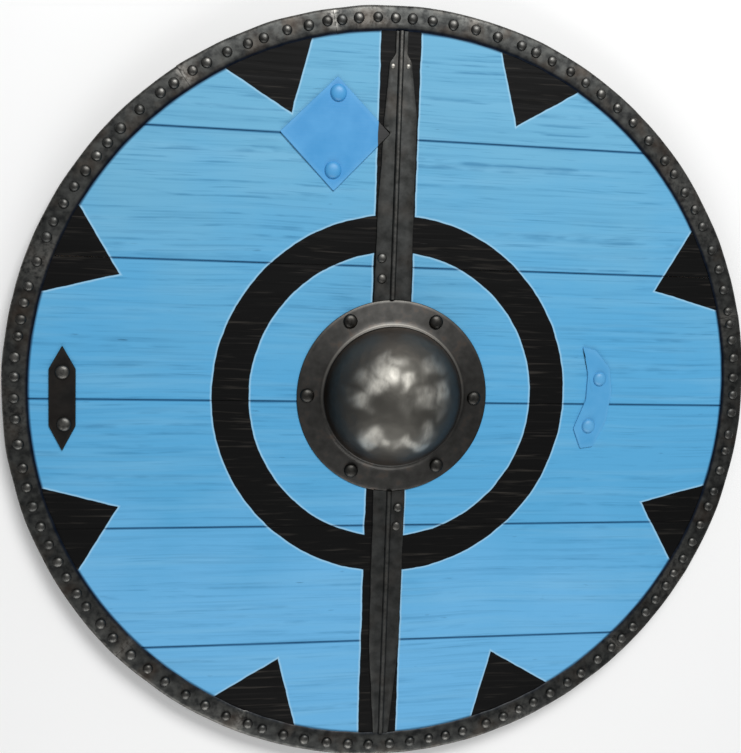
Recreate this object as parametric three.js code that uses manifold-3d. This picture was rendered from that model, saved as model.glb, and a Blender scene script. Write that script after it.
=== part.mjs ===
// A wooden round shield, lying on its back with the painted front up: six boards, an iron rim in six
// sections, a domed iron boss over a hand hole, two ribbed straps, three mending plates and a grip.
// Millimetres. The origin is on the floor under the middle. +X is the shield's right, +Y its top and +Z
// its front. A clock angle is measured from the top, clockwise seen from the front.
import * as THREE from "three";
import { mergeVertices } from "three/addons/utils/BufferGeometryUtils.js";
import Module from "manifold-3d";

const wasm = await Module();
wasm.setup();

// Driving dimensions
const SHIELD_RADIUS = 400;
const GAP = 0.3;
const SHEET = 1.5;
const RING_SIDES = 84;
const BOSS_SIDES = 40;
const RIVET_SIDES = 8;
const SMALL_RIVET_SIDES = 5;

const GRIP_THICKNESS = 14;
const BOARD_BACK = GRIP_THICKNESS + GAP;
const BOARD_FRONT = BOARD_BACK + 10;
const BOARD_SEAMS = [266.2, 134.8, -7.9, -141.4, -269.3];
const SEAM_GAP = 0.6;
const SEAM_CHAMFER = 0.8;
const HAND_HOLE_RADIUS = 64;
const FITTING_BACK = BOARD_FRONT + GAP;

const RIM = {
  inner: 374.4,
  backInner: 382,
  bevel: 1,
  wall: 1.6,
  back: BOARD_BACK - GAP - SHEET,
  front: FITTING_BACK + SHEET,
  jointGapDegrees: 0.05,
  rivetCircle: 387,
  rivetRadius: 4.9,
  rivetHeight: 2.3,
};
// Clock angles in degrees. Each section runs from its start to the next one's. Rivets are set by eye.
const RIM_STARTS = [-11.5, 76.2, 136.6, 204, 226.1, 324.3];
const RIM_RIVETS = [
  -10.4, -7.8, -4.9, -2.2, 0.4, 3.5, 6.8, 10.4, 14, 18, 20.5, 23.4, 26.8, 29.8, 32.9, 36.4, 39.8, 43.7, 47.9,
  50.6, 54.1, 57.4, 60.5, 64.7, 68.1, 71.6, 75.2, 77.4, 80.1, 83.1, 86.4, 89.3, 92.3, 96, 98.8, 102.2, 105.9,
  108.6, 112, 115.2, 118.4, 121.3, 123.8, 126.7, 129.4, 132.7, 135.4, 137.7, 140.8, 144.4, 147.2, 150.6,
  153.8, 156.5, 159.4, 162.5, 166.6, 169.6, 172.4, 175.6, 179, 182.5, 185.9, 189.4, 193.1, 196.6, 200.2,
  202.7, 206.4, 210.2, 213.8, 217.7, 221.1, 224.6, 228.5, 231.4, 234.9, 237.4, 240.4, 243.1, 246.1, 249.1,
  252.4, 255.4, 258.4, 262, 265.8, 268.9, 272.1, 275, 278.1, 280.6, 283.1, 285.6, 289.4, 293.2, 295.7, 298.7,
  301.6, 304.4, 307.1, 309.6, 312.4, 316.3, 320.2, 322.6, 325.9, 328.3, 331.7, 335, 337.5, 341.2, 344.5,
  347.4,
];

// The boss sits a little off the shield's middle, and its rivets are set by eye.
const BOSS = {
  x: -3.5,
  y: -1.6,
  flange: 102.3,
  step: 78,
  dome: 73.6,
  springing: 2,
  height: 58,
  wall: 2,
  front: FITTING_BACK + 2,
  rivets: [[40.1, 78.6], [85, -2.2], [46.6, -75.6], [-46.1, -81], [-94.9, -1.3], [-51.7, 77.3]],
};

const STRAP = { thickness: 1.6, ribHalfWidth: 3, ribHeight: 2.3 };
const PLATE_FRONT = FITTING_BACK + SHEET;
const STRAP_FRONT = FITTING_BACK + STRAP.thickness;

const DIAMOND = [[-72.3, 325.1], [-129.7, 267.2], [-73.5, 210.1], [-16.6, 270.6]];
const HEX = {
  x: -341.1,
  halfWidth: 13.1,
  top: 46,
  upperShoulder: 22.5,
  lowerShoulder: -35.1,
  bottom: -60.5,
};
const PATCH = [
  [206, 55.2], [221.3, 51.8], [238.2, 32.9], [242.2, 7], [237.2, -26.9], [223.3, -54.8],
  [209.3, -56.8], [200.3, -34.9], [212.9, -2.5], [213.6, 24.6], [210.9, 41],
];

const GRIP = {
  x: -5.9,
  length: 752,
  battenHalfWidth: 25,
  handleHalfWidth: 15,
  handleHalfLength: 52,
  shoulderY: 78,
  bevel: 2.5,
};

const finish = (color, roughness, metalness) => (
  new THREE.MeshStandardMaterial({ color, roughness, metalness }));
const BLUE_BOARD = finish(0x66aedd, 0.6, 0);
const BLUE_IRON = finish(0x549fd8, 0.45, 0.1);
const BARE_WOOD = finish(0x8d6f4b, 0.75, 0);
const DARK_IRON = finish(0x474644, 0.45, 0.8);
const BOSS_IRON = finish(0x6d6b66, 0.4, 0.9);
const BRIGHT_IRON = finish(0xb4b2aa, 0.35, 0.9);

// A closed three.js geometry as a solid that can be cut and joined.
function solid(geometry) {
  geometry.deleteAttribute("normal");
  geometry.deleteAttribute("uv");
  const merged = mergeVertices(geometry, 1e-4);
  const points = merged.attributes.position.array;
  const triangles = [];
  let volume = 0;
  for (let i = 0; i < merged.index.count; i += 3) {
    const [a, b, c] = [0, 1, 2].map((k) => merged.index.getX(i + k));
    if (a === b || b === c || c === a) continue;
    triangles.push([a, b, c]);
    const [p, q, r] = [a, b, c].map((k) => new THREE.Vector3().fromArray(points, 3 * k));
    volume += p.dot(q.cross(r));
  }
  const outward = volume > 0 ? triangles : triangles.map(([a, b, c]) => [a, c, b]);
  const mesh = new wasm.Mesh({
    numProp: 3,
    vertProperties: new Float32Array(points),
    triVerts: new Uint32Array(outward.flat()),
  });
  return new wasm.Manifold(mesh);
}

// A cut solid as a three.js geometry with flat shading.
function geometryOf(shape) {
  const { vertProperties, triVerts } = shape.getMesh();
  const geometry = new THREE.BufferGeometry();
  geometry.setAttribute("position", new THREE.BufferAttribute(vertProperties, 3));
  geometry.setIndex(new THREE.BufferAttribute(triVerts, 1));
  geometry.computeVertexNormals();
  return geometry;
}

// A turned solid about +Z, from a profile of [radius, height] points that starts and ends on the axis.
function turned(profile, sides) {
  const points = profile.map(([radius, height]) => new THREE.Vector2(radius, height));
  return solid(new THREE.LatheGeometry(points, sides).rotateX(Math.PI / 2));
}

function disc(radius, low, high, sides = RING_SIDES) {
  return turned([[0, low], [radius, low], [radius, high], [0, high]], sides);
}

// A plate of the given outline between two heights.
function plate(outline, low, high) {
  const shape = new THREE.Shape(outline.map(([x, y]) => new THREE.Vector2(x, y)));
  const slab = new THREE.ExtrudeGeometry(shape, { depth: high - low, bevelEnabled: false });
  return solid(slab.translate(0, 0, low));
}

// A bar along X with a section of [y, z] points.
function barAlongX(section, from, to) {
  const shape = new THREE.Shape(section.map(([y, z]) => new THREE.Vector2(y, z)));
  const axes = new THREE.Matrix4().makeBasis(
    new THREE.Vector3(0, 1, 0), new THREE.Vector3(0, 0, 1), new THREE.Vector3(1, 0, 0));
  const bar = new THREE.ExtrudeGeometry(shape, { depth: to - from, bevelEnabled: false });
  return solid(bar.applyMatrix4(axes).translate(from, 0, 0));
}

const moved = (shape, x, y) => shape.translate([x, y, 0]);
const atClock = (degrees, radius) => {
  const angle = THREE.MathUtils.degToRad(degrees);
  return [radius * Math.sin(angle), radius * Math.cos(angle)];
};

// Each kind of fixing has its head, the height that the head sits on, its shank and the height that the
// shank ends at. Where the shank goes right through a board, it is riveted over a rove behind.
const ROVED = { shank: 2.5, tail: BOARD_BACK - 1.8, rove: 6 };
const BOSS_RIVET = { head: 7.5, height: 3.6, seat: BOSS.front, material: BOSS_IRON, ...ROVED };
const STRAP_RIVET = { head: 5, height: 2.4, seat: STRAP_FRONT, shank: 2, tail: 0.5, material: DARK_IRON };
const TACK_TAIL = BOARD_FRONT - 4;
const TACK = { head: 2.4, height: 1.2, seat: STRAP_FRONT, shank: 1, tail: TACK_TAIL, material: BRIGHT_IRON };
const DIAMOND_RIVET = { head: 8.6, height: 4.2, seat: PLATE_FRONT, material: BLUE_IRON, ...ROVED };
const HEX_RIVET = { head: 7.4, height: 3.6, seat: PLATE_FRONT, material: DARK_IRON, ...ROVED };
const PATCH_RIVET = { head: 7.4, height: 3.7, seat: PLATE_FRONT, material: BLUE_IRON, ...ROVED };

const fixings = (name, kind, places) => (
  places.map(([x, y], i) => ({ ...kind, name: `${name}_${i + 1}`, x, y })));
const FIXINGS = [
  ...fixings("boss_rivet", BOSS_RIVET, BOSS.rivets),
  ...fixings("strap_rivet", STRAP_RIVET, [[-20.5, 143.8], [-19.7, 122.5], [6.2, -121.6], [5.1, -142]]),
  ...fixings("strap_tack", TACK, [[-16, 338.7], [0, 339.3]]),
  ...fixings("diamond_rivet", DIAMOND_RIVET, [[-71.3, 308.8], [-74.6, 231.2]]),
  ...fixings("hex_rivet", HEX_RIVET, [[-340.8, 19.5], [-339.1, -33]]),
  ...fixings("patch_rivet", PATCH_RIVET, [[227.2, 20.4], [217.1, -31.9]]),
];

// A fixing about its own axis: a domed head, a shank and, if it has one, a rove behind.
function rivet({ seat, head, height, shank, tail, rove }) {
  const under = seat + GAP;
  const profile = [
    [0, under + height], [0.74 * head, under + 0.66 * height], [head, under], [shank, under],
  ];
  if (rove) profile.push([shank, BOARD_BACK - GAP], [rove, BOARD_BACK - GAP], [rove, tail]);
  else profile.push([shank, tail]);
  return turned([...profile, [0, tail]], RIVET_SIDES);
}

function drilled(shape) {
  return FIXINGS.reduce((rest, { x, y, shank, tail }) => {
    const hole = disc(shank + GAP, tail - GAP, BOSS.front + SHEET, RIVET_SIDES);
    return rest.subtract(moved(hole, x, y));
  }, shape);
}

// One board between two seams, cut to the round, with the front edges of its seams eased.
function board(low, high) {
  const section = [
    [low, BOARD_BACK], [high, BOARD_BACK],
    [high, BOARD_FRONT - SEAM_CHAMFER], [high - SEAM_CHAMFER, BOARD_FRONT],
    [low + SEAM_CHAMFER, BOARD_FRONT], [low, BOARD_FRONT - SEAM_CHAMFER],
  ];
  const round = disc(SHIELD_RADIUS - RIM.wall - 2 * GAP, 0, 2 * BOARD_FRONT);
  const hole = disc(HAND_HOLE_RADIUS, 0, 2 * BOARD_FRONT, BOSS_SIDES / 2);
  return drilled(barAlongX(section, -SHIELD_RADIUS, SHIELD_RADIUS)
    .intersect(round)
    .subtract(moved(hole, BOSS.x, BOSS.y)));
}

// The whole rim as a channel: a front band, an outer wall and a narrow band behind.
function rimChannel() {
  const { inner, backInner, bevel, wall, back, front } = RIM;
  return turned([
    [inner, FITTING_BACK], [inner, front],
    [SHIELD_RADIUS - bevel, front], [SHIELD_RADIUS, front - bevel],
    [SHIELD_RADIUS, back + bevel], [SHIELD_RADIUS - bevel, back],
    [backInner, back], [backInner, back + SHEET],
    [SHIELD_RADIUS - wall, back + SHEET], [SHIELD_RADIUS - wall, FITTING_BACK],
    [inner, FITTING_BACK],
  ], RING_SIDES);
}

// The part of the plane between two clock angles, as a thick wedge.
function wedge(start, end) {
  const steps = Math.ceil((end - start) / 40);
  const outline = [[0, 0]];
  for (let i = 0; i <= steps; i++) {
    outline.push(atClock(start + ((end - start) * i) / steps, 2 * SHIELD_RADIUS));
  }
  return plate(outline, 0, 2 * BOARD_FRONT);
}

// A rim section with its rivet heads.
function rimSection(channel, start, end) {
  const { rivetRadius: radius, rivetHeight: height, front, rivetCircle } = RIM;
  const head = turned([
    [0, front - 0.5], [radius, front - 0.5], [0.62 * radius, front + height], [0, front + height],
  ], SMALL_RIVET_SIDES);
  const gap = RIM.jointGapDegrees / 2;
  return RIM_RIVETS
    .filter((clock) => clock > start && clock < end)
    .reduce((section, clock) => section.add(moved(head, ...atClock(clock, rivetCircle))),
      channel.intersect(wedge(start + gap, end - gap)));
}

// The boss is a cap of a sphere of even wall, raised on a flat flange and open behind.
function boss() {
  const { x, y, flange, step, dome, springing, height, wall, front } = BOSS;
  const rise = height - springing;
  const sphere = (dome ** 2 + rise ** 2) / (2 * rise);
  const middle = front + height - sphere;
  const arc = (radius, steps) => {
    const full = Math.acos((front + springing - middle) / radius);
    return Array.from({ length: steps + 1 }, (_, i) => {
      const angle = full * (1 - i / steps);
      return [i === steps ? 0 : radius * Math.sin(angle), middle + radius * Math.cos(angle)];
    });
  };
  const outside = arc(sphere, 7);
  const inside = arc(sphere - wall, 6).reverse();
  const turnedBoss = turned([
    ...inside, [dome - wall + 1.6, FITTING_BACK], [flange, FITTING_BACK], [flange - 0.5, front],
    [step, front], [step - 3, front + 0.7], ...outside,
  ], BOSS_SIDES);
  return drilled(moved(turnedBoss, x, y));
}

// A strap is a flat blade with a rounded rib along it. It butts against the boss and the rim.
function strap(outline, ribX) {
  const ys = outline.map(([, y]) => y);
  const { ribHalfWidth: half, ribHeight } = STRAP;
  const section = [
    [-half, -0.5], [half, -0.5], [0.75 * half, 0.55 * ribHeight], [0.3 * half, ribHeight],
    [-0.3 * half, ribHeight], [-0.75 * half, 0.55 * ribHeight],
  ];
  const shape = new THREE.Shape(section.map(([x, z]) => new THREE.Vector2(x, z)));
  const [low, high] = [Math.min(...ys), Math.max(...ys)];
  const rib = new THREE.ExtrudeGeometry(shape, { depth: high - low, bevelEnabled: false });
  const ribbed = plate(outline, FITTING_BACK, STRAP_FRONT)
    .add(solid(rib.rotateX(Math.PI / 2).translate(ribX, high, STRAP_FRONT)));
  return ribbed
    .subtract(moved(disc(BOSS.flange + GAP, 0, 2 * BOARD_FRONT, BOSS_SIDES), BOSS.x, BOSS.y))
    .intersect(disc(RIM.inner - GAP, 0, 2 * BOARD_FRONT));
}

const UPPER_STRAP = [
  [12, 90], [11.2, 286], [4, 342.7], [-0.9, 350.7], [-0.9, 380],
  [-13.8, 380], [-13.8, 350.7], [-19.2, 342.7], [-23.4, 284], [-24.8, 234], [-26.8, 203], [-27.6, 90],
];
const LOWER_STRAP = [
  [-21.3, -90], [-20.3, -275], [-13.8, -354.7], [-11.9, -380],
  [4.1, -380], [6.1, -354.7], [12.6, -275], [13.5, -90],
];

// An outline grown by a distance, for the clearance round it.
function grown(outline, by) {
  const centre = [0, 1].map((k) => outline.reduce((sum, point) => sum + point[k], 0) / outline.length);
  return outline.map(([x, y]) => {
    const away = new THREE.Vector2(x - centre[0], y - centre[1]);
    away.setLength(away.length() + by);
    return [centre[0] + away.x, centre[1] + away.y];
  });
}

function hexOutline() {
  const { x, halfWidth, top, upperShoulder, lowerShoulder, bottom } = HEX;
  return [
    [x, top], [x - halfWidth, upperShoulder], [x - halfWidth, lowerShoulder],
    [x, bottom], [x + halfWidth, lowerShoulder], [x + halfWidth, upperShoulder],
  ];
}

// The grip is a batten across all six boards, waisted to a rounded handle behind the hand hole.
function grip() {
  const { x, length, battenHalfWidth, handleHalfWidth, handleHalfLength, shoulderY, bevel } = GRIP;
  const half = [
    [battenHalfWidth, length / 2], [battenHalfWidth, shoulderY], [handleHalfWidth, handleHalfLength],
    [handleHalfWidth, -handleHalfLength], [battenHalfWidth, -shoulderY], [battenHalfWidth, -length / 2],
  ];
  const outline = [...half, ...half.map(([a, b]) => [-a, -b])];
  const shape = new THREE.Shape(outline.map(([a, b]) => new THREE.Vector2(a, b)));
  const bar = new THREE.ExtrudeGeometry(shape, {
    depth: GRIP_THICKNESS - 2 * bevel,
    bevelThickness: bevel,
    bevelSize: bevel,
    bevelOffset: -bevel,
    bevelSegments: 1,
  });
  return drilled(solid(bar.translate(x, 0, bevel)));
}

const shield = new THREE.Group();

function add(name, shape, material, x = 0, y = 0) {
  const mesh = new THREE.Mesh(geometryOf(shape), material);
  mesh.name = name;
  mesh.position.set(x, y, 0);
  shield.add(mesh);
}

const edges = [SHIELD_RADIUS + SEAM_GAP, ...BOARD_SEAMS, -SHIELD_RADIUS - SEAM_GAP];
for (let i = 0; i < edges.length - 1; i++) {
  add(`board_${i + 1}`, board(edges[i + 1] + SEAM_GAP / 2, edges[i] - SEAM_GAP / 2), BLUE_BOARD);
}

const channel = rimChannel();
RIM_STARTS.forEach((start, i) => {
  const end = RIM_STARTS[i + 1] ?? RIM_STARTS[0] + 360;
  add(`rim_section_${i + 1}`, rimSection(channel, start, end), DARK_IRON);
});

add("boss", boss(), BOSS_IRON);
const notch = plate(grown(DIAMOND, 1.5 * GAP), 0, 2 * BOARD_FRONT);
add("strap_upper", drilled(strap(UPPER_STRAP, -7.9).subtract(notch)), DARK_IRON);
add("strap_lower", drilled(strap(LOWER_STRAP, -3.9)), DARK_IRON);
add("diamond_plate", drilled(plate(DIAMOND, FITTING_BACK, PLATE_FRONT)), BLUE_IRON);
add("hex_plate", drilled(plate(hexOutline(), FITTING_BACK, PLATE_FRONT)), DARK_IRON);
add("patch_plate", drilled(plate(PATCH, FITTING_BACK, PLATE_FRONT)), BLUE_IRON);
add("grip", grip(), BARE_WOOD);
for (const fixing of FIXINGS) add(fixing.name, rivet(fixing), fixing.material, fixing.x, fixing.y);

export default shield;
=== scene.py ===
"""A painted wooden round shield with an iron boss, rim, straps and mending plates, lying face up.

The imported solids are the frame. Each visible piece here is a finer mesh of the same size in the same place,
with a procedural finish. Lengths are millimetres in this file's own values and metres in Blender.
"""

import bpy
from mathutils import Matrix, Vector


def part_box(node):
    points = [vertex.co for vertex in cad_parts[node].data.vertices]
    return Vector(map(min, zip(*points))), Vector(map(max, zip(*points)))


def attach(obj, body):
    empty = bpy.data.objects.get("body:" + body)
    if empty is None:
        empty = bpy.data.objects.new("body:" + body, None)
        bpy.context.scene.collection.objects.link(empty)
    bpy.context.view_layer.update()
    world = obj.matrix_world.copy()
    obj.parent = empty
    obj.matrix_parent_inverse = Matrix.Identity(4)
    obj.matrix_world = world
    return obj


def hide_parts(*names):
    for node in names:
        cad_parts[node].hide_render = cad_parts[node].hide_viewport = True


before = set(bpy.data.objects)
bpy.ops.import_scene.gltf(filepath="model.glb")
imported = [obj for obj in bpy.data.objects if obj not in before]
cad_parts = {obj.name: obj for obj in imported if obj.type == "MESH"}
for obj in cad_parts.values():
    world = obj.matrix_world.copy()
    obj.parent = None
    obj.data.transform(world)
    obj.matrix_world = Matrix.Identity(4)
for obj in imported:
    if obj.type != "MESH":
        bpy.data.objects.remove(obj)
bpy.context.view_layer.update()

import logging
import math
from dataclasses import dataclass
from enum import Enum
from typing import Any, Callable, Sequence

import bpy
import numpy as np
from mathutils import Matrix, Vector

log = logging.getLogger("shield")

MM = 0.001
BODY = "root"
SHIELD_RADIUS = 400.0
RIM_INNER = 374.4
BOSS_X, BOSS_Y = -3.5, -1.6
FLANGE_RADIUS = 102.3
# The gap that the solids leave between pieces that touch
TOUCH = 0.3
# How far a rivet head's underside is sunk into what it sits on
SINK = 0.4
# The grit of the iron's surface, drawn as coarse as it needs to show
GRIT_SIZE = 1.6

Socket = bpy.types.NodeSocket
Places = Sequence[tuple[float, float]]
Triple = tuple[float, float, float]

# The numbered sockets of a colour mix
FACTOR, FIRST, SECOND, MIXED = 0, 6, 7, 2


class Slot(Enum):
    """The record's material slots."""

    BOARDS = "painted_boards"
    WOOD = "bare_wood"
    DARK_IRON = "dark_iron"
    BOSS_IRON = "boss_iron"
    BRIGHT_IRON = "bright_iron"
    PAINTED_PLATE = "painted_plate"


class Ends(Enum):
    """How the two ends of a loft are closed."""

    POLYGON = "one face over the whole end"
    LADDER = "a row of faces between the two sides of the section"


def node_box(node: str) -> tuple[np.ndarray, np.ndarray]:
    """Gives a CAD node's lowest and highest corners.

    Args:
        node: The node's name.

    Returns:
        Both corners in millimetres.
    """
    low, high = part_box(node)
    return np.array(low) / MM, np.array(high) / MM


def board_faces() -> tuple[float, float]:
    """Gives the heights of the boards' backs and of their fronts, which all lie level."""
    low, high = node_box("board_2")
    return float(low[2]), float(high[2])


def put(name: str, data: bpy.types.ID) -> bpy.types.Object:
    """Makes an object and puts it into the scene.

    Args:
        name: The object's name.
        data: Its mesh, light or camera.

    Returns:
        The new object.
    """
    made = bpy.data.objects.new(name, data)
    bpy.context.scene.collection.objects.link(made)
    return made


def linear(colour: str) -> tuple[float, float, float, float]:
    """Turns an sRGB hex colour into linear light.

    Args:
        colour: A hash sign and six hex digits.

    Returns:
        Linear red, green and blue, and an alpha of 1.
    """
    parts = [int(colour[k:k + 2], 16) / 255 for k in (1, 3, 5)]
    red, green, blue = (p / 12.92 if p <= 0.04045 else ((p + 0.055) / 1.055) ** 2.4 for p in parts)
    return (red, green, blue, 1.0)


def at_clock(degrees: Any, radius: Any) -> tuple[Any, Any]:
    """Gives the place at a clock angle, measured from the shield's top, clockwise from the front.

    Args:
        degrees: The clock angle or angles.
        radius: The distance or distances from the middle.

    Returns:
        x and y.
    """
    angle = np.radians(degrees)
    return radius * np.sin(angle), radius * np.cos(angle)


class Unevenness:
    """The smooth unevenness that hand work leaves, as a sum of seeded waves."""

    def __init__(self, seed: int, size: float, waves: int = 12) -> None:
        """Draws the waves.

        Args:
            seed: The seed, so that every run is the same.
            size: The usual distance from one rise to the next.
            waves: How many waves are summed.
        """
        rng = np.random.default_rng(seed)
        turn = rng.uniform(0, 2 * math.pi, waves)
        pitch = 2 * math.pi / (size * rng.uniform(0.6, 1.7, waves))
        self.across = pitch * np.cos(turn)
        self.along = pitch * np.sin(turn)
        self.phase = rng.uniform(0, 2 * math.pi, waves)

    def at(self, x: Any, y: Any) -> np.ndarray:
        """Gives the unevenness, mostly between -1 and 1, at each place.

        Args:
            x: The first coordinate of each place.
            y: The second coordinate of each place.

        Returns:
            One value for each place.
        """
        x, y = np.broadcast_arrays(np.asarray(x, float), np.asarray(y, float))
        waves = np.sin(x[..., None] * self.across + y[..., None] * self.along + self.phase)
        return waves.sum(-1) / math.sqrt(len(self.phase))


@dataclass
class Shell:
    """One closed surface in millimetres, with the wear of each point, partly painted highlight on some
    pieces, and a rule for each face's finish.
    """

    points: np.ndarray
    faces: list[tuple[int, ...]]
    wear: np.ndarray
    finish: Callable[[np.ndarray], int] | None = None


def loft(rings: np.ndarray, ends: Ends, wear: np.ndarray | float = 0.0) -> Shell:
    """Joins a row of rings into one closed surface that faces out.

    Args:
        rings: Points as stations by points round each ring by three coordinates.
        ends: How the ends are closed.
        wear: Wear for each point, or one value for all.

    Returns:
        The closed surface.
    """
    stations, count = rings.shape[:2]
    points = rings.reshape(-1, 3)
    index = np.arange(stations * count).reshape(stations, count)
    after = np.roll(index, -1, axis=1)
    quads = np.stack([index[:-1], after[:-1], after[1:], index[1:]], axis=-1).reshape(-1, 4)
    faces = [tuple(quad) for quad in quads.tolist()]
    first, last = index[0].tolist(), index[-1].tolist()
    if ends is Ends.POLYGON:
        faces += [tuple(first[::-1]), tuple(last)]
    if ends is Ends.LADDER:
        for ring, step in ((first, -1), (last, 1)):
            for k in range(count // 2 - 1):
                rung = (ring[k], ring[k + 1], ring[count - 2 - k], ring[count - 1 - k])
                faces.append(rung[::step])
    shell = Shell(points, faces, np.broadcast_to(np.asarray(wear, float), rings.shape[:2]).reshape(-1))
    if signed_volume(shell) < 0:
        shell.faces = [face[::-1] for face in shell.faces]
    return shell


def signed_volume(shell: Shell) -> float:
    """Gives a closed surface's volume, which is negative if its faces point in."""
    total = 0.0
    for face in shell.faces:
        first = shell.points[face[0]]
        for b, c in zip(face[1:-1], face[2:]):
            total += float(np.dot(first, np.cross(shell.points[b], shell.points[c])))
    return total / 6


def turned(profile: Places, x: float, y: float, sides: int, hammered: float = 0.0, seed: int = 0) -> Shell:
    """Turns a profile round an upright axis, and beats it slightly out of round.

    Args:
        profile: Radius and height at each level, from one pole to the other.
        x: The axis's place.
        y: The axis's place.
        sides: How many sides the round has.
        hammered: How far out of round it is, as a share of the radius.
        seed: The seed of that unevenness.

    Returns:
        The closed surface.
    """
    radius, height = (np.array(column)[:, None] for column in zip(*profile))
    angle = np.linspace(0, 2 * math.pi, sides, endpoint=False)[None, :]
    # The unevenness is taken on a circle, so that it closes without a step
    beaten = 1 + hammered * Unevenness(seed, 2.2).at(np.cos(angle) + height / 6, np.sin(angle))
    rings = np.stack(np.broadcast_arrays(
        x + radius * beaten * np.cos(angle), y + radius * beaten * np.sin(angle), height), axis=-1)
    return loft(rings, Ends.POLYGON)


def place(name: str, shells: Sequence[Shell], finishes: Sequence[bpy.types.Material],
          nodes: Sequence[str], crease: float = 38.0) -> bpy.types.Object:
    """Makes one piece of the shield and hides the solids that it stands for.

    Args:
        name: The piece's name.
        shells: Its closed surfaces.
        finishes: Its materials, in the order of the shells' finish numbers.
        nodes: The CAD nodes that it replaces.
        crease: Edges sharper than this, in degrees, stay sharp.

    Returns:
        The new object.
    """
    mesh = bpy.data.meshes.new(name)
    points = np.vstack([shell.points for shell in shells]) * MM
    faces: list[tuple[int, ...]] = []
    numbers: list[int] = []
    start = 0
    for shell in shells:
        for face in shell.faces:
            faces.append(tuple(k + start for k in face))
            numbers.append(shell.finish(shell.points[list(face)]) if shell.finish else 0)
        start += len(shell.points)
    mesh.from_pydata(points.tolist(), [], faces)
    wear = mesh.attributes.new("wear", "FLOAT", "POINT")
    wear.data.foreach_set("value", np.concatenate([shell.wear for shell in shells]).astype(np.float32))
    for finish in finishes:
        mesh.materials.append(finish)
    mesh.polygons.foreach_set("material_index", numbers)
    mesh.shade_smooth()
    mesh.set_sharp_from_angle(angle=math.radians(crease))
    mesh.update()
    piece = put(name, mesh)
    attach(piece, BODY)
    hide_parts(*nodes)
    log.info("%s: %d faces", name, len(faces))
    return piece


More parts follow.
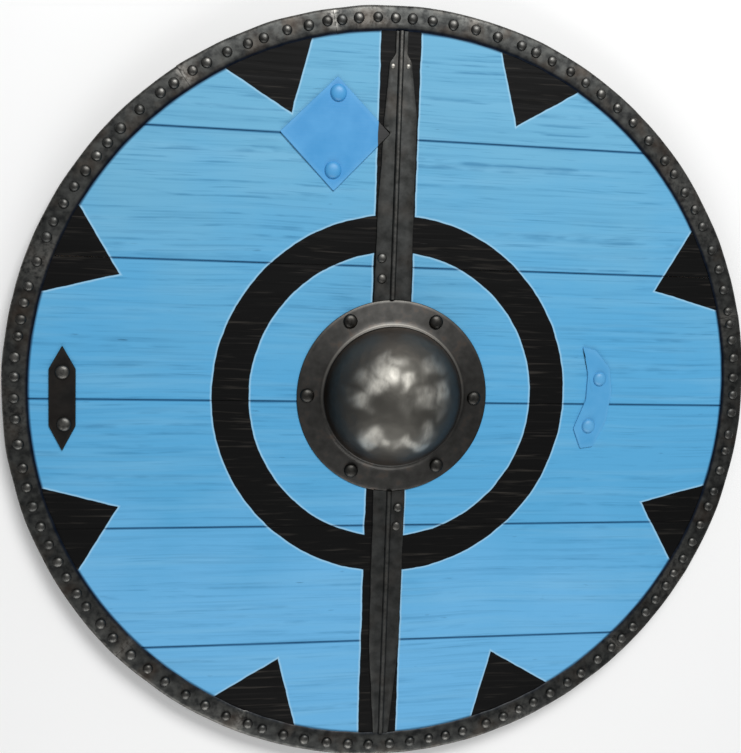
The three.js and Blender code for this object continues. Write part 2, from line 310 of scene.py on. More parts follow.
class Shading:
    """A material's nodes, with the object's own coordinates in millimetres."""

    def __init__(self, name: str) -> None:
        """Starts an empty material.

        Args:
            name: The material's name.
        """
        self.material = bpy.data.materials.new(name)
        self.material.use_nodes = True
        self.tree = self.material.node_tree
        self.tree.nodes.clear()
        own = self.add("TexCoord", out="Object")
        self.place = self.add("VectorMath", {0: own, "Scale": 1 / MM}, operation="SCALE")

    def add(self, kind: str, inputs: dict[int | str, Any] | None = None, out: int | str = 0,
            **settings: Any) -> Socket:
        """Adds a node with its settings and links.

        Args:
            kind: The node's type, without the word ShaderNode.
            inputs: A value or an output for each named or numbered input.
            out: The output that is given back.
            **settings: The node's own settings.

        Returns:
            The chosen output.
        """
        made = self.tree.nodes.new("ShaderNode" + kind)
        for name, value in settings.items():
            setattr(made, name, value)
        for key, value in (inputs or {}).items():
            if isinstance(value, Socket):
                self.tree.links.new(value, made.inputs[key])
            else:
                made.inputs[key].default_value = value
        return made.outputs[out]

    def distance(self, spot: Socket, x: float = 0.0, y: float = 0.0) -> Socket:
        """Gives the distance of a place from an upright axis, in millimetres.

        Args:
            spot: The place.
            x: The axis's place.
            y: The axis's place.

        Returns:
            The distance.
        """
        away = self.add("VectorMath", {0: spot, 1: (x, y, 0.0)}, operation="SUBTRACT")
        level = self.add("VectorMath", {0: away, 1: (1.0, 1.0, 0.0)}, operation="MULTIPLY")
        return self.add("VectorMath", {0: level}, "Value", operation="LENGTH")

    def depth_in_band(self, value: Socket, middle: float, half: float) -> Socket:
        """Gives how deep a value lies inside a band, which is negative outside it.

        Args:
            value: The value.
            middle: The band's middle.
            half: Half of the band's width.

        Returns:
            The depth.
        """
        off = self.add("Math", {0: value, 1: middle}, operation="SUBTRACT")
        off = self.add("Math", {0: off}, operation="ABSOLUTE")
        return self.add("Math", {0: half, 1: off}, operation="SUBTRACT")

    def patches(self, size: float, low: float, high: float, detail: float, roughness: float = 0.5) -> Socket:
        """Gives soft-edged patches: noise that is cut off below one level and full above another.

        Args:
            size: How large they are, in millimetres.
            low: The level where they begin.
            high: The level where they are full.
            detail: How much finer detail they hold.
            roughness: How strong that detail is.

        Returns:
            A share between 0 and 1.
        """
        noise = self.add("TexNoise", {"Vector": self.place, "Scale": 1 / size, "Detail": detail,
                                      "Roughness": roughness})
        return self.add("MapRange", {"Value": noise, "From Min": low, "From Max": high})

    def drawn_noise(self, spot: Socket, size: Triple, detail: float, roughness: float = 0.5,
                    apart: Triple = (0.0, 0.0, 0.0)) -> Socket:
        """Gives noise that is drawn out along an axis.

        Args:
            spot: The place.
            size: Its size along each axis, in millimetres.
            detail: How much finer detail it holds.
            roughness: How strong that detail is.
            apart: Sets it apart from other noise of its size.

        Returns:
            The noise, between 0 and 1.
        """
        pitch = tuple(1 / length for length in size)
        spot = self.add("VectorMath", {0: spot, 1: pitch, 2: apart}, operation="MULTIPLY_ADD")
        return self.add("TexNoise", {"Vector": spot, "Scale": 1.0, "Detail": detail, "Roughness": roughness})

    def coats(self, colour: Any, *coats: tuple[Any, Any, float]) -> Socket:
        """Lays coats of colour over one another. A colour is a hex colour or an output.

        Args:
            colour: The colour underneath.
            *coats: Where each coat lies, its colour, and how well it covers.

        Returns:
            The colour that shows.
        """
        for share, tint, strength in coats:
            cover = self.add("Math", {0: share, 1: strength}, operation="MULTIPLY")
            under, over = (linear(c) if isinstance(c, str) else c for c in (colour, tint))
            colour = self.add("Mix", {FACTOR: cover, FIRST: under, SECOND: over}, MIXED, data_type="RGBA")
        return colour

    def finish(self, colour: Socket, roughness: Any, height: Socket, metallic: float,
               ior: float = 1.5) -> bpy.types.Material:
        """Ends the material with one surface.

        Args:
            colour: The base colour.
            roughness: The roughness.
            height: The fine relief, in millimetres.
            metallic: 1 for bare metal and 0 for the rest.
            ior: The index of refraction of paint or wood. Metal keeps the default.

        Returns:
            The finished material.
        """
        relief = self.add("Bump", {"Height": height, "Distance": MM, "Strength": 1.0})
        surface = self.add("BsdfPrincipled", {
            "Base Color": colour, "Roughness": roughness, "Normal": relief, "Metallic": metallic,
            "IOR": ior})
        end = self.tree.nodes.new("ShaderNodeOutputMaterial")
        self.tree.links.new(surface, end.inputs["Surface"])
        return self.material


def painted_rim_shade(s: Shading, clear: float, full: float, foot: float, rest: float) -> Socket:
    """Gives how much painted shade, standing in for the shadow under the rim's raised lip, lies along its
    inner edge; it is less near the shield's foot.

    Args:
        s: The material's nodes.
        clear: Where the shade begins, in millimetres outward from that edge.
        full: Where it is strongest, measured in the same way.
        foot: Its strength at the foot.
        rest: Its strength elsewhere.

    Returns:
        The share of painted shade.
    """
    near = s.add("MapRange", {"Value": s.distance(s.place), "From Min": RIM_INNER + clear,
                              "From Max": RIM_INNER + full})
    y = s.add("SeparateXYZ", {0: s.place}, "Y")
    # The painted shade is weaker near the shield's foot
    shade_strength = s.add("MapRange", {"Value": y, "From Min": -370.0, "From Max": -200.0, "To Min": foot,
                                 "To Max": rest})
    return s.add("Math", {0: near, 1: shade_strength}, operation="MULTIPLY")


@dataclass(frozen=True)
class Figures:
    """The black figures painted on the boards: a stripe, a ring round the boss and teeth along the rim."""

    stripe_x: float = -7.9
    stripe_half_width: float = 21.0
    ring_inner: float = 152.0
    ring_outer: float = 190.0
    tooth_count: int = 8
    tooth_tip: float = 310.0
    tooth_base: float = 376.0
    tooth_half_width: float = 50.0
    hand_shake: float = 1.1
    shakes_per_metre: float = 60.0
    soft_edge: float = 0.35
    line_width: float = 2.3

    def spot(self, s: Shading) -> Socket:
        """Gives the place on the shield, shaken a little as a hand-held brush is.

        Args:
            s: The material's nodes.

        Returns:
            The place.
        """
        shake = s.add("TexNoise", {"Vector": s.place, "Scale": self.shakes_per_metre * MM, "Detail": 4.0},
                      "Color")
        shake = s.add("VectorMath", {0: shake, 1: (0.5, 0.5, 0.5)}, operation="SUBTRACT")
        shake = s.add("VectorMath", {0: shake, "Scale": 2 * self.hand_shake}, operation="SCALE")
        return s.add("VectorMath", {0: s.place, 1: shake}, operation="ADD")

    def stripe(self, s: Shading, spot: Socket) -> Socket:
        """Gives the depth inside the stripe, in millimetres."""
        x = s.add("SeparateXYZ", {0: spot}, "X")
        return s.depth_in_band(x, self.stripe_x, self.stripe_half_width)

    def ring(self, s: Shading, spot: Socket) -> Socket:
        """Gives the depth inside the ring round the boss, in millimetres."""
        middle = (self.ring_inner + self.ring_outer) / 2
        return s.depth_in_band(s.distance(spot, BOSS_X, BOSS_Y), middle, self.ring_outer - middle)

    def teeth(self, s: Shading, spot: Socket) -> Socket:
        """Gives the depth inside the nearest tooth, in millimetres.

        Args:
            s: The material's nodes.
            spot: The place on the shield.

        Returns:
            The depth.
        """
        split = s.add("SeparateXYZ", {0: spot}).node
        turn = s.add("Math", {0: split.outputs["Y"], 1: split.outputs["X"]}, operation="ARCTAN2")
        pitch = 2 * math.pi / self.tooth_count
        for step, number in (("ADD", 2 * math.pi), ("MODULO", pitch), ("SUBTRACT", pitch / 2)):
            turn = s.add("Math", {0: turn, 1: number}, operation=step)
        radius = s.distance(spot)
        along = s.add("Math", {0: turn}, operation="COSINE")
        along = s.add("Math", {0: along, 1: radius}, operation="MULTIPLY")
        aside = s.add("Math", {0: turn}, operation="SINE")
        aside = s.add("Math", {0: aside, 1: radius}, operation="MULTIPLY")
        aside = s.add("Math", {0: aside}, operation="ABSOLUTE")
        slope = self.tooth_half_width / (self.tooth_base - self.tooth_tip)
        reach = s.add("Math", {0: along, 1: self.tooth_tip}, operation="SUBTRACT")
        reach = s.add("Math", {0: reach, 1: slope}, operation="MULTIPLY")
        tooth = s.add("Math", {0: reach, 1: aside}, operation="SUBTRACT")
        return s.add("Math", {0: tooth, 1: 1 / math.hypot(1, slope)}, operation="MULTIPLY")

    def shares(self, s: Shading, depth: Socket) -> tuple[Socket, Socket, Socket]:
        """Gives how black each place is, how unpainted, and how much of the pale line round a figure it has.

        Args:
            s: The material's nodes.
            depth: The depth inside the nearest figure.

        Returns:
            The share of black, the share left without it, and the share of the line.
        """
        black = s.add("MapRange", {"Value": depth, "From Min": -self.soft_edge, "From Max": self.soft_edge})
        line = s.add("MapRange", {"Value": depth, "From Min": -self.line_width, "From Max": -self.soft_edge})
        clear = s.add("Math", {0: 1.0, 1: black}, operation="SUBTRACT")
        return black, clear, s.add("Math", {0: line, 1: clear}, operation="MULTIPLY")


@dataclass(frozen=True)
class Grain:
    """One kind of line along a board: its width and length, and the noise levels between which it shows."""

    across: float
    along: float
    detail: float
    layer: int
    low: float = 0.0
    high: float = 1.0


@dataclass(frozen=True)
class OilPaintedSoftwood:
    """Sawn softwood boards under thin, brushed oil paint, light blue with black figures.

    The open grain and the saw's marks show through the paint as fine darker lines along the board, so the
    eye reads wood first. The paint runs a little way down into the seams. Painted shade darkens the blue
    along the seams and lies along the rim's inner edge, and painted light makes the blue paler towards the
    top and the bottom.
    """

    seed: int
    low_edge: float
    high_edge: float
    face: float
    figures: Figures = Figures()
    fibre: Grain = Grain(3.6, 170.0, 3.0, layer=0)
    rows: Grain = Grain(4.3, 300.0, 1.0, layer=1, low=0.52, high=0.72)
    dashes: Grain = Grain(4.4, 24.0, 1.0, layer=2, low=0.77, high=0.88)
    broken: Grain = Grain(9.0, 42.0, 2.0, layer=3, low=0.42, high=0.62)
    brushed: Grain = Grain(12.0, 220.0, 3.0, layer=4, low=0.48, high=0.72)
    hairs: Grain = Grain(2.4, 70.0, 2.0, layer=5, low=0.6, high=0.76)
    scuffs: Grain = Grain(3.4, 60.0, 2.0, layer=6, low=0.58, high=0.78)
    grain_bend: float = 14.0
    bends_per_metre: float = 4.0
    clouds_per_metre: float = 9.0
    cloud_reach: float = 300.0
    # Each of these starts at one height in the clouds, is full at another, and has a least share
    lit_above_at: Triple = (180.0, 420.0, 0.0)
    lit_below_at: Triple = (60.0, -90.0, 0.0)
    lined_at: Triple = (0.0, 380.0, 0.5)
    # How far from a seam, and how far down in it, the paint's colour starts to change and has changed
    seam_from: float = 1.5
    seam_full: float = 0.5
    bare_from: float = 4.0
    bare_full: float = 7.0
    ior: float = 1.22
    rough_hollows: float = 0.62
    rough_ridges: float = 0.5
    blue: str = "#57A5D3"
    # The next two blues are painted light, paler towards the top and towards the bottom
    blue_lit_above: str = "#6BACCE"
    blue_lit_below: str = "#69B0DE"
    blue_pale: str = "#80BADA"
    grain_line: str = "#33749E"
    crack: str = "#154063"
    # The next colour darkens the blue along the seams as painted shade
    seam: str = "#205B86"
    # The colour of the painted shade along the rim's inner edge
    rim_shade_colour: str = "#0C2342"
    black: str = "#060606"
    black_worn: str = "#181716"
    black_scuffed: str = "#36332F"
    edge_line: str = "#A9D2EA"
    seam_wood: str = "#6E553A"

    def noise(self, s: Shading, grain: Grain) -> Socket:
        """Gives noise drawn out along the board.

        Args:
            s: The material's nodes.
            grain: The kind of line.

        Returns:
            The noise, between 0 and 1.
        """
        bend = s.add("TexNoise", {"Vector": s.place, "Scale": self.bends_per_metre * MM, "Detail": 1.0},
                     "Color")
        bend = s.add("VectorMath", {0: bend, 1: (0.0, self.grain_bend, 0.0)}, operation="MULTIPLY")
        spot = s.add("VectorMath", {0: s.place, 1: bend}, operation="ADD")
        # Each board and each kind of line takes its noise from a place of its own
        apart = (3.7 * grain.layer, 0.0, 7.3 * self.seed + 31.0 * grain.layer)
        return s.drawn_noise(spot, (grain.along, grain.across, math.inf), grain.detail, 0.55, apart)

    def lines(self, s: Shading, grain: Grain) -> Socket:
        """Gives where one kind of line shows."""
        return s.add("MapRange", {"Value": self.noise(s, grain), "From Min": grain.low,
                                  "From Max": grain.high})

    def build(self) -> bpy.types.Material:
        """Makes the material."""
        s = Shading(f"oil_painted_softwood_{self.seed}")
        spot = self.figures.spot(s)
        depth = s.add("Math", {0: self.figures.stripe(s, spot), 1: self.figures.ring(s, spot)},
                      operation="MAXIMUM")
        depth = s.add("Math", {0: depth, 1: self.figures.teeth(s, spot)}, operation="MAXIMUM")
        black, clear, line = self.figures.shares(s, depth)

        # Painted light: the blue is paler towards the top and towards the bottom, in large clouds, and the
        # grain shows more towards the top
        split = s.add("SeparateXYZ", {0: s.place}).node
        y, level = split.outputs["Y"], split.outputs["Z"]
        cloud = s.add("TexNoise", {"Vector": s.place, "Scale": self.clouds_per_metre * MM, "Detail": 3.0})
        cloud = s.add("Math", {0: cloud, 1: self.cloud_reach, 2: y}, operation="MULTIPLY_ADD")
        paler_above_share, low, lined = (s.add("MapRange", {"Value": cloud, "From Min": start, "From Max": full,
                                               "To Min": least})
                            for start, full, least in (self.lit_above_at, self.lit_below_at, self.lined_at))
        fibre = self.noise(s, self.fibre)
        dark = s.add("MapRange", {"Value": fibre, "From Min": 0.5, "From Max": 0.3})
        streak = s.add("Math", {0: self.lines(s, self.rows), 1: self.lines(s, self.broken)},
                       operation="MULTIPLY")
        streak = s.add("Math", {0: streak, 1: lined}, operation="MULTIPLY")
        hair = s.add("Math", {0: self.lines(s, self.hairs), 1: lined}, operation="MULTIPLY")
        dash = self.lines(s, self.dashes)
        # Painted shade: the blue is darkened along each seam's edges
        from_seam = s.depth_in_band(y, (self.low_edge + self.high_edge) / 2,
                                    (self.high_edge - self.low_edge) / 2)
        joint = s.add("MapRange", {"Value": from_seam, "From Min": self.seam_from,
                                   "From Max": self.seam_full})
        colour = s.coats(self.blue, (paler_above_share, self.blue_lit_above, 1.0), (low, self.blue_lit_below, 1.0),
                         (self.lines(s, self.brushed), self.blue_pale, 0.3), (dark, self.grain_line, 0.2),
                         (streak, self.grain_line, 0.6), (hair, self.grain_line, 0.5),
                         (dash, self.crack, 0.5), (joint, self.seam, 0.85), (line, self.edge_line, 0.75))

        thin = s.add("MapRange", {"Value": fibre, "From Min": 0.56, "From Max": 0.7})
        night = s.coats(self.black, (thin, self.black_worn, 0.7),
                        (self.lines(s, self.scuffs), self.black_scuffed, 0.75))
        # Painted shade along the rim's inner edge, where the raised rim would shade the boards
        rim_shade_share = painted_rim_shade(s, clear=-2.4, full=-0.4, foot=0.55, rest=0.9)
        rim_shade_share = s.add("Math", {0: rim_shade_share, 1: clear}, operation="MULTIPLY")
        bare = s.add("MapRange", {"Value": level, "From Min": self.face - self.bare_from,
                                  "From Max": self.face - self.bare_full})
        colour = s.coats(colour, (black, night, 1.0), (rim_shade_share, self.rim_shade_colour, 1.0), (bare, self.seam_wood, 1.0))

        rough = s.add("MapRange", {"Value": fibre, "From Min": 0.3, "From Max": 0.7,
                                   "To Min": self.rough_hollows, "To Max": self.rough_ridges})
        height = s.add("Math", {0: fibre, 1: 0.12}, operation="MULTIPLY")
        for share, drop in ((streak, -0.1), (dash, -0.3), (black, 0.03)):
            height = s.add("Math", {0: share, 1: drop, 2: height}, operation="MULTIPLY_ADD")
        return s.finish(colour, rough, height, 0.0, self.ior)


@dataclass(frozen=True)
class BareSoftwood:
    """Bare softwood, sawn and planed, gone grey-brown with age and handling.

    The growth rings show as darker lines along the piece, and handled wood is darker and smoother.
    """

    name: str
    along_x: bool
    seed: int = 0
    light: str = "#A07F58"
    dark: str = "#7A5B3D"
    pore: str = "#4A3622"
    roughness: float = 0.68
    ring_size: Triple = (300.0, 7.0, 9.0)
    pore_size: Triple = (45.0, 0.9, 0.9)
    grain_bend: Triple = (30.0, 30.0, 10.0)
    bends_per_metre: float = 6.0

    def turned_size(self, size: Triple) -> Triple:
        """Gives a size along, across and up the grain as one along x, y and z."""
        along, across, up = size
        return (along, across, up) if self.along_x else (across, along, up)

    def build(self) -> bpy.types.Material:
        """Makes the material."""
        s = Shading(self.name)
        # Each piece is cut from another place in the wood
        apart = (313.0 * self.seed, 157.0 * self.seed, 41.0 * self.seed)
        own = s.add("VectorMath", {0: s.place, 1: apart}, operation="ADD")
        bend = s.add("TexNoise", {"Vector": own, "Scale": self.bends_per_metre * MM, "Detail": 2.0}, "Color")
        bend = s.add("VectorMath", {0: bend, 1: self.grain_bend}, operation="MULTIPLY")
        spot = s.add("VectorMath", {0: own, 1: bend}, operation="ADD")
        rings = s.drawn_noise(spot, self.turned_size(self.ring_size), 3.0, 0.55)
        tone = s.add("MapRange", {"Value": rings, "From Min": 0.35, "From Max": 0.65})
        pores = s.drawn_noise(spot, self.turned_size(self.pore_size), 2.0)
        mark = s.add("MapRange", {"Value": pores, "From Min": 0.58, "From Max": 0.7})
        colour = s.coats(self.light, (tone, self.dark, 1.0), (mark, self.pore, 0.5))
        height = s.add("Math", {0: rings, 1: 0.25}, operation="MULTIPLY")
        height = s.add("Math", {0: mark, 1: -0.15, 2: height}, operation="MULTIPLY_ADD")
        rough = s.add("MapRange", {"Value": rings, "To Min": self.roughness - 0.08,
                                   "To Max": self.roughness + 0.1})
        return s.finish(colour, rough, height, 0.0)


@dataclass(frozen=True)
class Iron:
    """Wrought or sheet iron with its dark forge scale, rubbed bright where hands and ground touch it.

    The scale is dark grey and dull with faint brown rust tints, and rubbed places are paler and glossier.
    On rivet crowns that paler colour is partly painted highlight.
    """

    name: str
    scale_dark: str = "#343534"
    scale_light: str = "#4A4B4A"
    rust: str = "#4E4238"
    rust_share: float = 0.2
    rubbed_and_highlight: str = "#8A8883"
    dull: float = 0.5
    glossy: float = 0.36
    beaten: float = 0.12
    gritty: float = 0.04
    mottle_size: float = 12.0
    rust_size: float = 30.0
    scuff_size: float = 4.0
    dent_size: float = 12.0
    # Only the rim's iron has painted shade, along its inner lip
    shaded_lip: bool = False
    rim_shade_colour: str = "#0B1728"

    def build(self) -> bpy.types.Material:
        """Makes the material."""
        s = Shading(self.name)
        wear = s.add("Attribute", None, "Fac", attribute_name="wear")
        scuff = s.patches(self.scuff_size, 0.3, 0.6, 3.0)
        rub_and_highlight = s.add("Math", {0: wear, 1: scuff}, operation="MULTIPLY")
        colour = s.coats(self.scale_dark,
                         (s.patches(self.mottle_size, 0.34, 0.66, 4.0, 0.55), self.scale_light, 1.0),
                         (s.patches(self.rust_size, 0.5, 0.72, 3.0), self.rust, self.rust_share),
                         (rub_and_highlight, self.rubbed_and_highlight, 1.0))
        if self.shaded_lip:
            # Painted shade on the rim's inner lip
            rim_shade_share = painted_rim_shade(s, clear=3.2, full=1.2, foot=0.3, rest=0.85)
            colour = s.coats(colour, (rim_shade_share, self.rim_shade_colour, 1.0))
        rough = s.add("MapRange", {"Value": rub_and_highlight, "To Min": self.dull, "To Max": self.glossy})
        grit = s.add("TexNoise", {"Vector": s.place, "Scale": 1 / GRIT_SIZE, "Detail": 2.0})
        grit = s.add("Math", {0: grit, 1: self.gritty}, operation="MULTIPLY")
        dents = s.add("TexNoise", {"Vector": s.place, "Scale": 1 / self.dent_size, "Detail": 1.0})
        height = s.add("Math", {0: dents, 1: self.beaten, 2: grit}, operation="MULTIPLY_ADD")
        return s.finish(colour, rough, height, 1.0)


@dataclass(frozen=True)
class BurnishedIron:
    """The boss's iron: beaten sheet under dark scale, burnished in cloudy patches on its crown.

    Dark scale mirrors little. The burnished patches are pale and satin, so they show as soft bright clouds.
    Painted light makes the dome's side paler towards the top, the rubbed rims of the flange and the step are
    paler towards the top as painted highlight, and one cloud is partly painted highlight.
    """

    scale: str = "#3F3E3C"
    scale_light: str = "#4C4B49"
    side: str = "#463D36"
    side_lit_from_above: str = "#7C7269"
    crown: str = "#5A5853"
    bright: str = "#D3D0C7"
    rubbed_and_highlight: str = "#8A8781"
    rust: str = "#5E4A3B"
    side_level: float = 34.0
    crown_level: float = 74.0
    flange_level: float = 28.2
    flange_blend: float = 1.5
    lit_upper_span: tuple[float, float] = (12.0, 58.0)
    streak_size: Triple = (8.0, 17.0, 13.0)
    mottle_size: float = 10.0
    mark_size: float = 13.0
    flange_dish: float = 0.13
    hammered: float = 0.7
    gritty: float = 0.03

    def build(self) -> bpy.types.Material:
        """Makes the material."""
        s = Shading("burnished_boss_iron")
        wear = s.add("Attribute", None, "Fac", attribute_name="wear")
        split = s.add("SeparateXYZ", {0: s.place}).node
        level, y = split.outputs["Z"], split.outputs["Y"]
        on_dome = s.add("MapRange", {"Value": level, "From Min": self.flange_level,
                                     "From Max": self.flange_level + self.flange_blend})
        high = s.add("MapRange", {"Value": level, "From Min": self.side_level, "From Max": self.crown_level})
        # Painted light: the dome's side is paler towards the top
        upper = s.add("MapRange", {"Value": y, "From Min": BOSS_Y + self.lit_upper_span[0],
                                   "From Max": BOSS_Y + self.lit_upper_span[1]})
        streaks = s.drawn_noise(s.place, self.streak_size, 3.0, 0.55)
        patchy = s.add("MapRange", {"Value": streaks, "From Min": 0.3, "From Max": 0.6, "To Min": 0.5})
        polished = s.add("Math", {0: wear, 1: patchy}, operation="MULTIPLY")
        flange = s.coats(self.scale,
                         (s.patches(self.mottle_size, 0.35, 0.65, 4.0), self.scale_light, 1.0),
                         (s.patches(self.mottle_size, 0.56, 0.72, 4.0), self.rust, 0.28),
                         (wear, self.rubbed_and_highlight, 0.8))
        dome = s.coats(self.side, (upper, self.side_lit_from_above, 1.0), (high, self.crown, 1.0),
                       (polished, self.bright, 1.0))
        colour = s.coats(flange, (on_dome, dome, 1.0))
        rough = s.add("MapRange", {"Value": high, "To Min": 0.47, "To Max": 0.58})
        # The flange is dished and the dome is marked by the hammer
        dish = s.add("Math", {0: s.distance(s.place, BOSS_X, BOSS_Y), 1: -self.flange_dish},
                     operation="MULTIPLY")
        marks = s.add("TexNoise", {"Vector": s.place, "Scale": 1 / self.mark_size, "Detail": 2.0,
                                   "Roughness": 0.4})
        marks = s.add("Math", {0: marks, 1: self.hammered}, operation="MULTIPLY")
        relief = s.add("Mix", {0: on_dome, 2: dish, 3: marks}, data_type="FLOAT")
        grit = s.add("TexNoise", {"Vector": s.place, "Scale": 1 / GRIT_SIZE, "Detail": 2.0})
        height = s.add("Math", {0: grit, 1: self.gritty, 2: relief}, operation="MULTIPLY_ADD")
        return s.finish(colour, rough, height, 1.0)


@dataclass(frozen=True)
class PaintedIron:
    """Sheet iron brushed over with the boards' light blue oil paint.

    With no grain under it the paint lies smooth and a little glossier and deeper than on the boards. The
    black stripe runs over a plate's corner as it does over the boards.
    """

    name: str
    figures: Figures = Figures()
    blue: str = "#4398D1"
    blue_deep: str = "#3B91CB"
    rubbed_and_highlight: str = "#6FB0DC"
    black: str = "#141414"
    tone_size: float = 22.0
    brush_size: Triple = (30.0, 1.6, 8.0)
    brush_depth: float = 0.04

    def build(self) -> bpy.types.Material:
        """Makes the material."""
        s = Shading(self.name)
        wear = s.add("Attribute", None, "Fac", attribute_name="wear")
        tone = s.patches(self.tone_size, 0.35, 0.65, 4.0)
        black, _, _ = self.figures.shares(s, self.figures.stripe(s, self.figures.spot(s)))
        colour = s.coats(self.blue_deep, (tone, self.blue, 1.0), (wear, self.rubbed_and_highlight, 0.4),
                         (black, self.black, 1.0))
        brush = s.drawn_noise(s.place, self.brush_size, 2.0)
        height = s.add("Math", {0: brush, 1: self.brush_depth}, operation="MULTIPLY")
        rough = s.add("MapRange", {"Value": tone, "To Min": 0.38, "To Max": 0.48})
        return s.finish(colour, rough, height, 0.0)


@dataclass
class Boards:
    """The six boards, front faces painted, edges and backs bare."""

    count: int = 6
    under_rim: float = 2.0
    easing: float = 0.4
    column_pitch: float = 6.0
    row_pitch: float = 2.0
    hollow: float = 0.3
    swell: float = 0.24
    seam_wander: float = 0.1
    grain_ridge: float = 0.07
    warp: float = 0.1
    highest: float = 0.2
    hand_hole_radius: float = 64.0
    hand_hole_span: tuple[float, float] = (-20.0, 60.0)
    hand_hole_sides: int = 72
    holed: tuple[str, ...] = ("board_3", "board_4")

    def build(self) -> None:
        """Makes every board."""
        for number in range(1, self.count + 1):
            node = f"board_{number}"
            low, high = node_box(node)
            bare = BareSoftwood(f"bare_softwood_{number}", along_x=True, seed=number).build()
            painted = OilPaintedSoftwood(number, float(low[1]), float(high[1]), float(high[2])).build()
            shell = self.shell(node, number)
            board = place(node + "_painted", [shell], [painted, bare], [node])
            if node in self.holed:
                self.cut_hand_hole(board)

    def shell(self, node: str, seed: int) -> Shell:
        """Gives one board's surface: two grids that follow the round at their ends, and four edges.

        Args:
            node: The board's CAD node.
            seed: The seed of its unevenness.

        Returns:
            The closed surface.
        """
        low, high = node_box(node)
        radius = SHIELD_RADIUS - self.under_rim
        inner = np.linspace(low[1] + self.easing, high[1] - self.easing,
                            int((high[1] - low[1]) / self.row_pitch))
        rows = np.concatenate([[low[1]], inner, [high[1]]])
        drop = np.zeros(len(rows))
        drop[[0, -1]] = self.easing
        columns = int(2 * radius / self.column_pitch)
        share = np.linspace(-1, 1, columns + 1)[:, None]
        half = np.sqrt(np.maximum(radius ** 2 - rows ** 2, 1.0))[None, :]
        x = share * half
        wander = Unevenness(seed + 40, 90.0).at(x, 0 * x)
        edge = np.zeros(len(rows))
        edge[:2], edge[-2:] = 1.0, -1.0
        y = rows[None, :] - edge[None, :] * (self.swell - self.seam_wander * np.clip(wander + 1, 0, 2))
        across = (rows - low[1]) / (high[1] - low[1])
        crown = -self.hollow * (2 * across - 1) ** 2
        ridges = self.grain_ridge * Unevenness(seed, 11.0).at(x / 16, y)
        warp = self.warp * Unevenness(seed + 9, 120.0).at(x, y)
        top = high[2] + np.minimum(crown[None, :] + ridges + warp, self.highest) - drop[None, :]
        front = np.stack(np.broadcast_arrays(x, y, top), axis=-1)
        back = np.stack(np.broadcast_arrays(x, y, low[2] + 0 * x), axis=-1)
        shell = loft(np.concatenate([front, back[:, ::-1]], axis=1), Ends.LADDER)
        shell.finish = lambda corners: 0 if corners[:, 2].max() > low[2] + 1 else 1
        return shell

    def cut_hand_hole(self, board: bpy.types.Object) -> None:
        """Cuts the hand hole through a board.

        Args:
            board: The board's object.
        """
        levels = [(self.hand_hole_radius, height) for height in self.hand_hole_span]
        shell = turned(levels, BOSS_X, BOSS_Y, self.hand_hole_sides)
        mesh = bpy.data.meshes.new("hand_hole")
        mesh.from_pydata((shell.points * MM).tolist(), [], shell.faces)
        for finish in board.data.materials:
            mesh.materials.append(finish)
        mesh.polygons.foreach_set("material_index", [1] * len(mesh.polygons))
        cutter = put("hand_hole", mesh)
        cut = board.modifiers.new("hand_hole", "BOOLEAN")
        cut.operation = "DIFFERENCE"
        cut.solver = "EXACT"
        cut.object = cutter
        graph = bpy.context.evaluated_depsgraph_get()
        done = bpy.data.meshes.new_from_object(board.evaluated_get(graph))
        board.modifiers.clear()
        board.data = done
        bpy.data.objects.remove(cutter)


